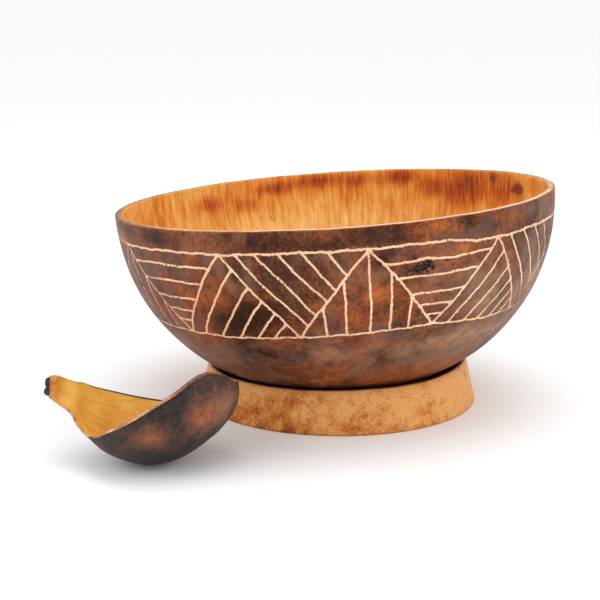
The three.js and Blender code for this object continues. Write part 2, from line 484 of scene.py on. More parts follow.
class BowlFace:
    """One face of the bowl's wall, measured along its curve from the rim to the floor's middle."""

    def __init__(self, radius, depth):
        bend = np.linspace(math.pi / 2, 0, FACE_SAMPLES)
        self.drop = depth * np.cos(bend)
        share = 1 - (self.drop / depth) ** BOWL_DEPTH_POWER
        self.radius = radius * np.maximum(share, 0) ** (1 / BOWL_RADIUS_POWER)
        steps = np.hypot(np.diff(self.radius), np.diff(self.drop))
        self.length = np.concatenate([[0], np.cumsum(steps)])
        self.out = np.gradient(self.drop, self.length)
        self.down = -np.gradient(self.radius, self.length)

    def at(self, length):
        """Radius, drop, and the outward normal's two parts at a length down the face."""
        values = (self.radius, self.drop, self.out, self.down)
        return [np.interp(length, self.length, value) for value in values]

    def length_at(self, drop):
        """The length down the face at a drop."""
        return np.interp(drop, self.drop, self.length)

    def point(self, turn, length, raised):
        """Points in the row frame, raised off the face by so many millimetres."""
        radius, drop, out, down = self.at(length)
        return bowl_point(turn, radius + raised * out, drop + raised * down)


BOWL_TURN = Matrix.Rotation(-BOWL_TILT_RIGHT, 3, "Y") @ Matrix.Rotation(-BOWL_TILT_FRONT, 3, "X")
OUTSIDE = BowlFace(BOWL_RADIUS, BOWL_DEPTH)
INSIDE = BowlFace(BOWL_RADIUS - BOWL_RIM_WALL, BOWL_DEPTH - BOWL_FLOOR_WALL)


def bowl_point(turn, radius, drop):
    """Points in the row frame from a turn, a radius and a drop below the rim."""
    around = np.radians(turn)
    flat = np.stack(np.broadcast_arrays(
        radius * np.sin(around) + BOWL_LEAN * drop, -radius * np.cos(around), -drop), -1)
    return flat @ np.array(BOWL_TURN).T + BOWL_RIM_CENTRE + ORIGIN


def skin_swell(turn, drop):
    """The gourd isn't quite round. It stays true at the rim and where the stand holds it."""
    fade = smoothstep(2, 20, drop) * smoothstep(104, 84, drop)
    return fade * waves(turn, drop, [(0.35, 2, 60, 0.7), (0.25, 5, 37, 2.1), (0.16, 9, 21, 4.0)])


def scar_relief(turn, drop):
    """A low ring of healed skin round a torn hollow."""
    centre, middle, width, height = SCAR
    across = np.radians(turn_gap(turn, centre)) * BOWL_RADIUS
    reach = np.hypot(across / width, (drop - middle) / height)
    torn = waves(turn * 14, drop, [(0.35, 1, 0.9, 0), (0.3, 2, 0.6, 1.3)])
    return 0.7 * np.exp(-((reach - 1) / 0.35) ** 2) + (torn - 0.7) * np.exp(-(reach / 0.7) ** 4)


def scar_amount(turn, drop):
    """How much of the scar's dark tissue there is, with flecks beside it."""
    centre, middle, width, height = SCAR
    wide = math.degrees(width / BOWL_RADIUS)
    spots = [(centre, middle, wide, height, 1), (centre - 3, middle + 1, 1.2, 1.6, 1),
             (centre + 6.5, middle - 2, 1, 1, 0.6), (centre + 8, middle + 1, 0.8, 1, 0.5)]
    return patches(turn, drop, spots)


def nearest_cut(face, turns, lengths, cuts):
    """A grid's distances to the nearest cut, and the way to it in degrees and in length."""
    columns = len(turns)
    radii = face.at(lengths)[0]
    shape = (len(lengths), columns)
    distance = np.full(shape, float(CUT_REACH))
    to_turn = np.zeros(shape)
    to_length = np.zeros(shape)
    spacing = 360 / columns
    reach_turn = math.degrees(CUT_REACH / radii.min())
    for turn, drop in cuts:
        run = face.length_at(drop)
        for a, b, c, d in zip(turn[:-1], turn[1:], run[:-1], run[1:]):
            beside = (lengths > min(c, d) - CUT_REACH) & (lengths < max(c, d) + CUT_REACH)
            rows = np.nonzero(beside)[0]
            first = math.floor((min(a, b) - reach_turn) / spacing)
            last = math.ceil((max(a, b) + reach_turn) / spacing)
            steps = np.arange(first, last + 1)
            scale = np.radians(1) * radii[rows][:, None]
            ax = (a - steps * spacing)[None, :] * scale
            ay = (c - lengths[rows])[:, None] * np.ones_like(ax)
            bx = (b - a) * scale
            by = d - c
            share = np.clip(-(ax * bx + ay * by) / (bx * bx + by * by), 0, 1)
            nx = ax + share * bx
            ny = ay + share * by
            found = np.hypot(nx, ny)
            window = np.ix_(rows, steps % columns)
            closer = found < distance[window]
            distance[window] = np.where(closer, found, distance[window])
            to_turn[window] = np.where(closer, nx / scale, to_turn[window])
            to_length[window] = np.where(closer, ny, to_length[window])
    return distance, to_turn, to_length


def grain_of(turn, drop):
    """Where a point is on a cylinder squeezed along its height, so that noise there makes fibres."""
    around = np.radians(turn)
    return {"grain_x": BOWL_RADIUS * np.cos(around), "grain_y": BOWL_RADIUS * np.sin(around),
            "grain_z": GRAIN_SQUEEZE * drop}


def outside_values(turn, drop):
    """What the outside's material reads at each point."""
    values = patch_values(turn, drop, SKIN_PATCHES)
    return {**values, "scar": scar_amount(turn, drop), **grain_of(turn, drop)}


def columns_for(radius):
    """Fewer points in the rows near the middle of the floor."""
    return next(count for limit, count in ROW_POINTS if radius < limit)


def add_plain_row(skin, face, length, columns=None):
    """A row of the outside or the inside, with no cuts in it."""
    radius, drop = face.at(length)[:2]
    turn = circle_columns(columns or columns_for(radius))
    slot = 0 if face is OUTSIDE else 2
    if face is OUTSIDE:
        raised = skin_swell(turn, drop)
        values = outside_values(turn, drop)
    else:
        fade = smoothstep(1, 12, drop)
        raised = fade * waves(turn, drop, [(0.25, 7, 15, 1), (0.18, 13, 9, 3), (0.2, 3, 40, 5)])
        values = {**patch_values(turn, drop, INSIDE_PATCHES), **grain_of(turn, drop)}
    skin.add(face.point(turn, length, raised), slot, cut=CUT_REACH, **values)


def add_band(skin):
    """The finely divided rows of the engraved band, from its bottom up."""
    low = OUTSIDE.length_at(BAND_BOTTOM)
    high = OUTSIDE.length_at(BAND_TOP)
    lengths = np.linspace(low, high, round((low - high) / BAND_SPACING))
    turns = circle_columns(BAND_COLUMNS)
    distance, to_turn, to_length = nearest_cut(OUTSIDE, turns, lengths, engraving())
    snapped = distance < SNAP
    turn = turns[None, :] + np.where(snapped, to_turn, 0)
    length = lengths[:, None] + np.where(snapped, to_length, 0)
    distance = np.where(snapped, 0, distance)
    drop = OUTSIDE.at(length)[1]
    groove = CUT_DEPTH * smoothstep(1.05, 0.15, distance)
    raised = skin_swell(turn, drop) + scar_relief(turn, drop) - groove
    points = OUTSIDE.point(turn, length, raised)
    values = outside_values(turn, drop)
    for row in range(len(lengths)):
        skin.add(points[row], 0, cut=distance[row], **{n: v[row] for n, v in values.items()})


def add_lip(skin):
    """The cut rim, a low crown that the knife left a little uneven."""
    turn = circle_columns(BAND_COLUMNS // 2)
    middle = BOWL_RADIUS - BOWL_RIM_WALL / 2
    uneven = waves(turn, 0, [(0.14, 3, 1, 0), (0.1, 8, 1, 1), (0.08, 19, 1, 2), (0.05, 41, 1, 3)])
    for step, bend in enumerate(np.linspace(0, math.pi, LIP_STEPS + 2)[1:-1]):
        square = math.copysign(abs(math.cos(bend)) ** LIP_BLUNTNESS, math.cos(bend))
        radius = middle + BOWL_RIM_WALL / 2 * square
        rise = LIP_CROWN * math.sin(bend) ** 0.7
        values = {"warm": patches(turn, 0, LIP_BARE), **grain_of(turn, 0)}
        slot = 0 if step < LIP_SKIN_STEPS else 1 if step < LIP_BARE_STEPS else 2
        points = bowl_point(turn, radius, -rise + uneven * math.sin(bend))
        skin.add(points, slot, cut=CUT_REACH, **values)


def make_bowl(*materials):
    """The bowl: up the outside, over the lip and down the inside, with a material for each."""
    skin = Skin(["cut", "warm", "soot", "dust", "worn", "scar", "grain_x", "grain_y", "grain_z"])
    skin.add(OUTSIDE.point(np.zeros(1), OUTSIDE.length[-1], 0), 0, cut=CUT_REACH)
    below_band = OUTSIDE.length_at(BAND_BOTTOM) + BAND_SPACING
    floor_length = OUTSIDE.length[-1] - COARSE_SPACING
    for length in np.linspace(floor_length, below_band + 2, COARSE_ROWS):
        add_plain_row(skin, OUTSIDE, length)
    add_plain_row(skin, OUTSIDE, below_band, BAND_COLUMNS // 2)
    add_band(skin)
    for length in np.linspace(OUTSIDE.length_at(BAND_TOP) - BAND_SPACING, 0, RIM_ROWS):
        add_plain_row(skin, OUTSIDE, length, BAND_COLUMNS // 2)
    add_lip(skin)
    add_plain_row(skin, INSIDE, 0, BAND_COLUMNS // 2)
    rows = round(INSIDE.length[-1] / INSIDE_SPACING)
    for length in np.linspace(INSIDE_SPACING / 2, INSIDE.length[-1] - INSIDE_SPACING, rows):
        add_plain_row(skin, INSIDE, length)
    skin.add(INSIDE.point(np.zeros(1), INSIDE.length[-1], 0), 2, cut=CUT_REACH)
    stand_for(skin.piece("bowl_shell", *materials), "bowl", "bowl")


# ------------------------ ring stand

def stand_profile():
    """The stand's section as (radius, height): up the outside, over the edge, down the inside."""
    share = np.linspace(0, 1, STAND_WALL_STEPS)[:, None]
    shoulder = STAND_HEIGHT - STAND_EDGE
    foot = np.array([STAND_BASE_RADIUS, 0])
    top = np.array([STAND_TOP_RADIUS, shoulder])
    inner_top = np.array([STAND_TOP_RADIUS - STAND_TOP_WALL, shoulder])
    inner_foot = np.array([STAND_BASE_RADIUS - STAND_BASE_WALL, 0])
    bend = np.linspace(0, math.pi, STAND_EDGE_STEPS + 2)[1:-1]
    middle = STAND_TOP_RADIUS - STAND_TOP_WALL / 2
    crown = np.stack([
        middle + STAND_TOP_WALL / 2 * np.sign(np.cos(bend)) * np.abs(np.cos(bend)) ** 0.6,
        shoulder + STAND_EDGE * np.sin(bend) ** 0.8,
    ], 1)
    outside = foot + (top - foot) * share
    inside = inner_top + (inner_foot - inner_top) * share
    return np.concatenate([outside, crown, inside])


def make_ring(material):
    """The hoop of gourd that the bowl stands in, higher on the right, with a dip worn in its edge."""
    skin = Skin(["edge", "inside", "grain_x", "grain_y", "grain_z"])
    turn = circle_columns(STAND_COLUMNS)
    around = np.radians(turn)
    dip = STAND_DIP * np.maximum(0, np.cos(around - STAND_DIP_TURN)) ** 6
    for index, (radius, height) in enumerate(stand_profile()):
        share = height / STAND_HEIGHT
        uneven = waves(turn, height, [(0.16, 4, 9, 1), (0.1, 9, 7, 2), (0.06, 17, 5, 3)])
        wide = radius + uneven * math.sin(math.pi * min(1, share)) - 0.35 * (share > 0.9) * abs(uneven)
        worn = STAND_WEAR * share ** 6 * (0.5 + 0.5 * np.sin(13 * around + 2) * np.sin(5 * around))
        x = wide * np.sin(around)
        level = height + share * (x * math.tan(STAND_TILT) - dip) - worn
        points = np.stack([x, -wide * np.cos(around), level], 1) + ORIGIN
        inside = index >= STAND_WALL_STEPS + STAND_EDGE_STEPS // 2
        values = grain_of(turn, height * 3)
        skin.add(points, 0, edge=float(share ** 12), inside=float(inside), **values)
    skin.join(skin.rows[-1], skin.rows[0], 0)
    stand_for(skin.piece("ring_hoop", material), "ring_stand", "stand")


# ------------------------ scoop

def catmull_rom(stations, share):
    """Smooth values at shares from 0 to 1 of the way through a list of stations."""
    stations = np.array(stations, float)
    before = 2 * stations[0] - stations[1]
    after = 2 * stations[-1] - stations[-2]
    padded = np.vstack([before, stations, after])
    place = share * (len(stations) - 1)
    index = np.minimum(place.astype(int), len(stations) - 2)
    step = (place - index)[:, None]
    p0, p1, p2, p3 = (padded[index + shift] for shift in range(4))
    v1 = (p2 - p0) / 2
    v2 = (p3 - p1) / 2
    cubic = (2 * p1 - 2 * p2 + v1 + v2) * step ** 3
    return cubic + (3 * p2 - 3 * p1 - 2 * v1 - v2) * step ** 2 + v1 * step + p1


def scoop_loop():
    """One trip round the scoop's wall: the share of the way from near to far edge, and the inset."""
    face = np.linspace(0, 1, SCOOP_FACE_STEPS)
    through = np.linspace(0, 1, SCOOP_EDGE_STEPS + 2)[1:-1]
    share = np.concatenate([face, np.ones(len(through)), face[::-1], np.zeros(len(through))])
    inset = np.concatenate([0 * face, through, 0 * face + 1, through[::-1]])
    slots = np.concatenate([0 * face, 0 * through + 1, 0 * face + 2, 0 * through + 1]).astype(int)
    slots[SCOOP_FACE_STEPS - 1] = 1
    slots[2 * SCOOP_FACE_STEPS + SCOOP_EDGE_STEPS - 1] = 1
    return share, inset, slots


def scoop_relief(turn, along):
    """Shallow hollows in the scoop's skin. They only go inwards, so its belly stays on the ground."""
    swell = waves(turn, along, [(0.5, 3, 19, 0), (0.3, 7, 11, 2), (0.2, 12, 5, 4)])
    return -SCOOP_HOLLOWS * (1 + np.sin(swell * 3)) * smoothstep(58, 45, np.abs(along))


def make_scoop(*materials):
    """The scoop, of skin, cut edge and flesh. Its mouth twists along it, pared thin there."""
    shares = np.linspace(0, 1, SCOOP_ROWS)
    shape = catmull_rom(SCOOP_STATIONS, shares)
    slopes = np.gradient(shape[:, :2], shares, axis=0)
    slopes /= np.linalg.norm(slopes, axis=1)[:, None]
    loop_share, loop_inset, loop_slots = scoop_loop()
    skin = Skin(["warm", "soot", "dust", "along", "across"])
    outside = loop_inset == 0
    for row, (along, radius, rise, near, lip, far) in enumerate(shape):
        slope_along, slope_out = slopes[row]
        near_edge = near + lip * loop_inset
        far_lip = SCOOP_FAR_LIP * smoothstep(-58, -44, along) * smoothstep(52, 40, along)
        turn = near_edge + (far + far_lip * loop_inset - near_edge) * loop_share
        span = radius * math.radians(near - far)
        pared = smoothstep(0, SCOOP_EDGE_TAPER, span * np.minimum(loop_share, 1 - loop_share))
        wall = SCOOP_WALL * (SCOOP_EDGE_SHARE + (1 - SCOOP_EDGE_SHARE) * pared)
        solid = smoothstep(NECK_HOLLOW, NECK_SOLID, along)
        wall += (NECK_FILLED * radius - wall) * solid
        inset = wall * loop_inset - scoop_relief(turn, along) * outside
        place = along + inset * slope_out * (1 - solid)
        wide = radius - inset * (slope_along + (1 - slope_along) * solid)
        around = np.radians(turn)
        points = np.stack([place, -wide * np.sin(around), rise - wide * np.cos(around)], 1)
        values = patch_values(turn, along, SCOOP_PATCHES)
        skin.add(points + SCOOP_CENTRE + ORIGIN, 0, along=along, across=turn, **values)
    tip, tip_slots = scoop_tip(skin)
    neck = neck_end()
    skin.faces += tip + neck
    skin.slots = np.tile(loop_slots, SCOOP_ROWS - 1).tolist() + tip_slots + [2] * len(neck)
    stand_for(skin.piece("scoop_shell", *materials), "scoop", "scoop")


def scoop_tip(skin):
    """Fans that close the blunt tip, outside and inside."""
    start = skin.rows[-1][0]
    inner = start + SCOOP_FACE_STEPS + SCOOP_EDGE_STEPS
    outer_pole = skin.count
    inner_pole = skin.count + 1
    poles = np.array([[SCOOP_TIP, 0, 0], [SCOOP_TIP - SCOOP_WALL, 0, 0]])
    last_values = {name: stored[-1][0] for name, stored in skin.values.items()}
    skin.points.append(poles + SCOOP_CENTRE + ORIGIN)
    for name, stored in skin.values.items():
        stored.append(np.full(2, last_values[name]))
    steps = range(SCOOP_FACE_STEPS - 1)
    outer = [[start + step, start + step + 1, outer_pole] for step in steps]
    inside = [[inner + step, inner + step + 1, inner_pole] for step in steps]
    return outer + inside, [0] * len(outer) + [2] * len(inside)


def neck_end():
    """Faces that close the neck's end, from the outside of its wall to the inside."""
    face = SCOOP_FACE_STEPS
    edge = SCOOP_EDGE_STEPS
    outside = list(range(face))
    inside = list(range(2 * face + edge - 1, face + edge - 1, -1))
    near_edge = range(2 * face + 2 * edge - 1, 2 * face + edge - 1, -1)
    far_edge = range(face + edge - 1, face - 1, -1)
    faces = [[outside[i + 1], outside[i], inside[i], inside[i + 1]] for i in range(1, face - 2)]
    faces.append([1, 0, *near_edge, inside[0], inside[1]])
    faces.append([outside[-1], outside[-2], inside[-2], inside[-1], *far_edge])
    return faces


def stem_knobs():
    """The two knobs as (height of the centre, radius, how far it stands off the neck)."""
    upper = (STEM_KNOB_SPACING + STEM_LOWER_KNOB - STEM_UPPER_KNOB) / 2
    lower = upper - STEM_KNOB_SPACING
    return ((upper, STEM_UPPER_KNOB, STEM_UPPER_STANDOFF),
            (lower, STEM_LOWER_KNOB, STEM_LOWER_STANDOFF))


def stem_outline(turn):
    """The radius of the two knobs' joint outline, from the middle of the stump."""
    reach = [np.full_like(turn, STEM_WAIST)]
    for centre, radius, _ in stem_knobs():
        along = centre * np.sin(turn)
        inside = radius ** 2 - centre ** 2 + along ** 2
        reach.append(np.where(inside > 0, along + np.sqrt(np.maximum(inside, 0)), 0))
    return np.maximum.reduce(reach)


def stem_bulge(y, z):
    """How far the stump stands off the neck: a dome over each knob, with a notch between them."""
    bulge = np.full_like(y, STEM_LEAST_RISE)
    for centre, radius, standoff in stem_knobs():
        dome = 1 - (y ** 2 + (z - centre) ** 2) / radius ** 2
        bulge = np.maximum(bulge, standoff * np.sqrt(np.maximum(dome, 0)) ** 0.7)
    return bulge * (1 + 0.1 * np.sin(2.9 * y + 1) * np.sin(2.3 * z))


def make_stem(material):
    """The dark stump of the stalk: a flat back, bedded in the neck, and two wrinkled knobs."""
    neck = SCOOP_STATIONS[0]
    root = np.array([neck[0] + STEM_BEDDED, 0, neck[2]]) + SCOOP_CENTRE + ORIGIN
    turn = np.linspace(0, 2 * math.pi, STEM_COLUMNS, endpoint=False)
    outline = stem_outline(turn) * (1 + 0.03 * np.sin(7 * turn))
    skin = Skin([])
    skin.add(root[None, :])
    for share in np.linspace(0, 0.96, STEM_ROWS // 3)[1:]:
        skin.add(root + stem_points(turn, outline * share, 0))
    for share in np.linspace(1, 0, STEM_ROWS)[:-1]:
        y = -outline * share * np.cos(turn)
        z = outline * share * np.sin(turn)
        rise = stem_bulge(y, z) * smoothstep(1.03, 0.86, share)
        skin.add(root + stem_points(turn, outline * share, rise))
    tip = stem_bulge(np.zeros(1), np.zeros(1))
    skin.add(root + stem_points(np.zeros(1), np.zeros(1), tip))
    stand_for(skin.piece("scoop_stalk", material), "scoop_stem", "scoop")


def stem_points(turn, reach, rise):
    """Points round the stump, standing off the neck by rise."""
    flat = np.broadcast_arrays(-rise, -reach * np.cos(turn), reach * np.sin(turn))
    return np.stack(flat, 1)


# ------------------------ materials

class Shader:
    """A procedural material, built a node at a time, with a set specular level."""

    def __init__(self, name, specular, roughness=0.5):
        self.material = bpy.data.materials.new(name)
        self.material.use_nodes = True
        self.tree = self.material.node_tree
        self.surface = self.tree.nodes["Principled BSDF"]
        self.surface.inputs["Roughness"].default_value = roughness
        self.surface.inputs["Specular IOR Level"].default_value = specular
        self.place = self.node("ShaderNodeTexCoord").outputs["Object"]

    def node(self, kind, **inputs):
        """A new node of a kind. In an input's name, _ stands for a space."""
        node = self.tree.nodes.new(kind)
        for name, value in inputs.items():
            self.put(value, node.inputs[name.replace("_", " ")])
        return node

    def put(self, value, socket):
        """Links a socket to another, or sets its value."""
        if isinstance(value, bpy.types.NodeSocket):
            self.tree.links.new(value, socket)
        else:
            socket.default_value = value

    def noise(self, scale, detail=4, roughness=0.55, distortion=0, where=None):
        """Noise from 0 to 1, by default over the object's own space in metres."""
        where = self.place if where is None else where
        node = self.node("ShaderNodeTexNoise", Vector=where, Scale=scale, Detail=detail,
                         Roughness=roughness, Distortion=distortion)
        return node.outputs["Fac"]

    def attributes(self, *names):
        """Values stored at the mesh's points."""
        nodes = [self.node("ShaderNodeAttribute") for _ in names]
        for node, name in zip(nodes, names):
            node.attribute_name = name
        return [node.outputs["Fac"] for node in nodes]

    def vector(self, x, y, z):
        """Three values as one vector."""
        node = self.node("ShaderNodeCombineXYZ")
        for value, socket in zip((x, y, z), node.inputs):
            self.put(value, socket)
        return node.outputs["Vector"]

    def math(self, operation, first, second=0.0, third=0.0):
        """One arithmetic step."""
        node = self.node("ShaderNodeMath")
        node.operation = operation
        for value, socket in zip((first, second, third), node.inputs):
            self.put(value, socket)
        return node.outputs["Value"]

    def times(self, first, second):
        """The product of two values."""
        return self.math("MULTIPLY", first, second)

    def plus(self, start, *terms):
        """start plus each (value, weight) pair."""
        total = start
        for value, weight in terms:
            total = self.math("MULTIPLY_ADD", value, weight, total)
        return total

    def rise(self, value, low, high):
        """A smooth rise from 0 at low to 1 at high, or a fall where low is above high."""
        down = low > high
        node = self.node("ShaderNodeMapRange", Value=value, From_Min=min(low, high),
                         From_Max=max(low, high), To_Min=float(down), To_Max=float(not down))
        node.interpolation_type = "SMOOTHSTEP"
        return node.outputs["Result"]

    def ramp(self, value, *stops):
        """A colour that depends on a value, from stops of position, red, green and blue."""
        node = self.node("ShaderNodeValToRGB", Fac=value)
        elements = node.color_ramp.elements
        while len(elements) < len(stops):
            elements.new(0.5)
        for element, (position, *colour) in zip(elements, stops):
            element.position = position
            element.color = (*colour, 1)
        return node.outputs["Color"]

    def mix(self, share, first, second):
        """Two colours mixed by a share."""
        node = self.node("ShaderNodeMix")
        node.data_type = "RGBA"
        self.put(share, node.inputs[0])
        for value, socket in ((first, node.inputs[6]), (second, node.inputs[7])):
            self.put(value if isinstance(value, bpy.types.NodeSocket) else (*value, 1), socket)
        return node.outputs[2]

    def finish(self, colour, roughness, height, distance, strength):
        """Gives the surface its colour, roughness and relief. distance is in metres."""
        bump = self.node("ShaderNodeBump", Height=height, Distance=distance, Strength=strength)
        self.put(colour, self.surface.inputs["Base Color"])
        self.put(roughness, self.surface.inputs["Roughness"])
        self.put(bump.outputs["Normal"], self.surface.inputs["Normal"])
        return self.material

    def fibres(self, scale, detail=3):
        """Streaks that run down the gourd's wall."""
        grain = self.vector(*self.attributes("grain_x", "grain_y", "grain_z"))
        return self.noise(scale, detail, 0.6, where=grain)


def bowl_skin():
    """Polished gourd skin, mottled from charcoal to orange, with dust and a painted grey sheen, and
    pale engraved cuts.
    """
    shader = Shader("bowl_skin", 0.12)
    clouds = shader.noise(19, 5, 0.62, 0.8)
    mottle = shader.noise(95, 6, 0.7, 0.4)
    specks = shader.noise(480, 4, 0.7)
    warm, soot, dust = shader.attributes("warm", "soot", "dust")
    scar, cut, worn = shader.attributes("scar", "cut", "worn")
    tone = shader.plus(-0.41, (clouds, 0.6), (mottle, 0.6), (specks, 0.6), (warm, 0.2), (soot, -0.2))
    colour = shader.ramp(
        tone, (0.28, 0.028, 0.01, 0.006), (0.4, 0.066, 0.021, 0.009), (0.5, 0.14, 0.037, 0.013),
        (0.62, 0.27, 0.068, 0.016), (0.8, 0.52, 0.14, 0.025))
    drifts = shader.noise(46, 5, 0.65, 0.6)
    settled = shader.plus(0.0, (drifts, 1.0), (soot, -0.4), (warm, -0.1), (dust, 0.1))
    shades = shader.noise(25, 4, 0.6, 0.5)
    ash = shader.ramp(shades, (0.4, 0.11, 0.07, 0.06), (0.6, 0.26, 0.14, 0.085))
    colour = shader.mix(shader.times(shader.rise(settled, 0.36, 0.62), 0.55), colour, ash)
    # Painted sheen and dust: a pale grey haze over noise and the pale patches stands in, on the bowl's
    # sides, for the soft reflection of the studio.
    wafts = shader.noise(34, 5, 0.65, 0.5)
    dust_and_sheen_share = shader.rise(shader.plus(-0.45, (wafts, 1.2), (dust, 0.6)), 0.25, 0.85)
    painted_sheen = shader.ramp(mottle, (0.4, 0.2, 0.115, 0.08), (0.6, 0.46, 0.25, 0.145))
    colour = shader.mix(shader.times(dust_and_sheen_share, 0.65), colour, painted_sheen)
    tissue = shader.noise(330, 3, 0.6, 1.4)
    torn = shader.rise(shader.plus(-1.3, (scar, 1.0), (tissue, 3.0)), 0.75, 0.95)
    colour = shader.mix(torn, colour, (0.01, 0.007, 0.007))
    serration = shader.noise(650, 1, 0.5)
    jagged = shader.plus(cut, (serration, 1.2), (worn, 0.2))
    cut = shader.rise(jagged, 1.42, 1.2)
    wear = shader.rise(shader.plus(worn, (mottle, 0.4)), 0.35, 1.2)
    kept = shader.math("MULTIPLY_ADD", wear, -0.72, 1.0)
    chalk = shader.ramp(shader.noise(38, 3), (0.35, 0.82, 0.46, 0.29), (0.65, 0.93, 0.62, 0.38))
    colour = shader.mix(shader.times(cut, kept), colour, chalk)
    roughness = shader.plus(0.26, (mottle, 0.3), (specks, 0.14), (cut, 0.3))
    relief = shader.plus(0.0, (mottle, 0.5), (specks, 0.25), (cut, -0.3))
    return shader.finish(colour, roughness, relief, 0.0007, 0.6)


def bowl_lip():
    """The cut edge of the wall: pale peach where it is bare, and brown with handling elsewhere."""
    shader = Shader("bowl_lip", 0.2)
    fibre = shader.fibres(0.5)
    grime = shader.noise(160, 4, 0.65)
    bare = shader.attributes("warm")[0]
    tone = shader.plus(-0.18, (fibre, 0.35), (grime, 0.5), (bare, 0.38))
    colour = shader.ramp(
        tone, (0.2, 0.12, 0.045, 0.02), (0.36, 0.32, 0.13, 0.055), (0.5, 0.66, 0.34, 0.18),
        (0.62, 0.86, 0.57, 0.37))
    roughness = shader.plus(0.5, (grime, 0.25))
    return shader.finish(colour, roughness, tone, 0.0004, 0.5)


def bowl_flesh():
    """The scraped inside, golden, with fine fibres, red-brown stains and a few dark knots."""
    shader = Shader("bowl_flesh", 0.2)
    depth, stain, speck = shader.attributes("grain_z", "warm", "soot")
    even = shader.rise(depth, 11.0, 20.0)
    fine = shader.mix(even, shader.fibres(0.42, 4), (0.5, 0.5, 0.5))
    wide = shader.fibres(0.09, 2)
    floor = shader.rise(depth, 2.2, 8.0)
    clouds = shader.noise(16, 4, 0.6, 0.4)
    pores = shader.noise(520, 3, 0.6)
    blotch = shader.noise(70, 5, 0.65, 0.5)
    stained = shader.rise(shader.plus(-0.3, (stain, 0.85), (blotch, 0.5), (wide, 0.25)), 0.08, 0.95)
    tone = shader.plus(-0.255, (fine, 0.54), (wide, 0.34), (clouds, 0.42), (blotch, 0.14))
    tone = shader.plus(tone, (stained, -0.27), (floor, 0.12))
    colour = shader.ramp(
        tone, (0.16, 0.21, 0.035, 0.008), (0.29, 0.46, 0.1, 0.013), (0.41, 0.61, 0.22, 0.03),
        (0.53, 0.71, 0.36, 0.08), (0.7, 0.82, 0.55, 0.22))
    knot = shader.plus(-0.85, (speck, 0.8), (blotch, 1.2), (pores, 0.8))
    colour = shader.mix(shader.rise(knot, 0.3, 0.85), colour, (0.17, 0.035, 0.012))
    roughness = shader.plus(0.42, (fine, 0.2), (pores, 0.1))
    relief = shader.plus(0.0, (fine, 0.6), (pores, 0.25))
    return shader.finish(colour, roughness, relief, 0.0005, 0.5)


def ring_gourd():
    """Bare tan gourd with darker freckles. Painted light leaves it darker and redder towards the left
    and the foot, and painted shade darkens the inside.
    """
    shader = Shader("ring_gourd", 0.16)
    clouds = shader.noise(26, 5, 0.6, 0.5)
    mottle = shader.noise(120, 4, 0.6)
    specks = shader.noise(620, 3, 0.6)
    fibre = shader.fibres(0.35)
    streaks = shader.fibres(0.06, 4)
    rightward, height, inside, edge = shader.attributes("grain_y", "grain_z", "inside", "edge")
    tone = shader.plus(-0.56, (clouds, 0.74), (mottle, 0.65), (specks, 0.45), (fibre, 0.12))
    # Painted light: the tone rises towards the right and the top, lighter on the side and top that the
    # light falls on.
    tone = shader.plus(tone, (streaks, 0.2), (rightward, 0.0004), (height, 0.008))
    colour = shader.ramp(
        tone, (0.28, 0.25, 0.055, 0.011), (0.4, 0.43, 0.11, 0.016), (0.5, 0.58, 0.2, 0.04),
        (0.64, 0.73, 0.345, 0.11))
    freckle = shader.rise(shader.noise(300, 3, 0.6, 0.5), 0.6, 0.72)
    colour = shader.mix(shader.times(freckle, 0.65), colour, (0.2, 0.055, 0.014))
    # Painted shade: the inner wall is mixed towards dark brown for the shade in the gap under the
    # bowl.
    colour = shader.mix(shader.times(inside, 0.75), colour, (0.12, 0.05, 0.02))
    colour = shader.mix(shader.times(edge, 0.4), colour, (0.28, 0.1, 0.04))
    roughness = shader.plus(0.42, (mottle, 0.2), (specks, 0.1))
    relief = shader.plus(0.0, (mottle, 0.4), (specks, 0.3), (fibre, 0.2))
    return shader.finish(colour, roughness, relief, 0.0005, 0.5)


def scoop_skin():
    """Dark smoked skin, black to brown, orange where it has worn through, and pale with dust and
    painted sheen.
    """
    shader = Shader("scoop_skin", 0.14)
    clouds = shader.noise(32, 5, 0.6, 0.5)
    mottle = shader.noise(160, 6, 0.7, 0.4)
    specks = shader.noise(650, 3, 0.6)
    warm, soot, dust = shader.attributes("warm", "soot", "dust")
    tone = shader.plus(-0.4, (clouds, 0.45), (mottle, 0.6), (specks, 0.4), (warm, 0.28), (soot, -0.1))
    colour = shader.ramp(
        tone, (0.2, 0.016, 0.013, 0.014), (0.36, 0.048, 0.029, 0.024), (0.5, 0.115, 0.05, 0.033),
        (0.64, 0.23, 0.075, 0.032), (0.85, 0.46, 0.135, 0.036))
    # Dust and painted sheen: a pale rosy bloom over the pale patches.
    dust_and_sheen_share = shader.rise(shader.plus(-0.52, (dust, 0.7), (mottle, 1.0)), 0.1, 0.8)
    colour = shader.mix(shader.times(dust_and_sheen_share, 0.6), colour, (0.33, 0.145, 0.08))
    roughness = shader.plus(0.36, (mottle, 0.26), (specks, 0.1))
    relief = shader.plus(0.0, (mottle, 0.5), (specks, 0.25))
    return shader.finish(colour, roughness, relief, 0.0006, 0.5)


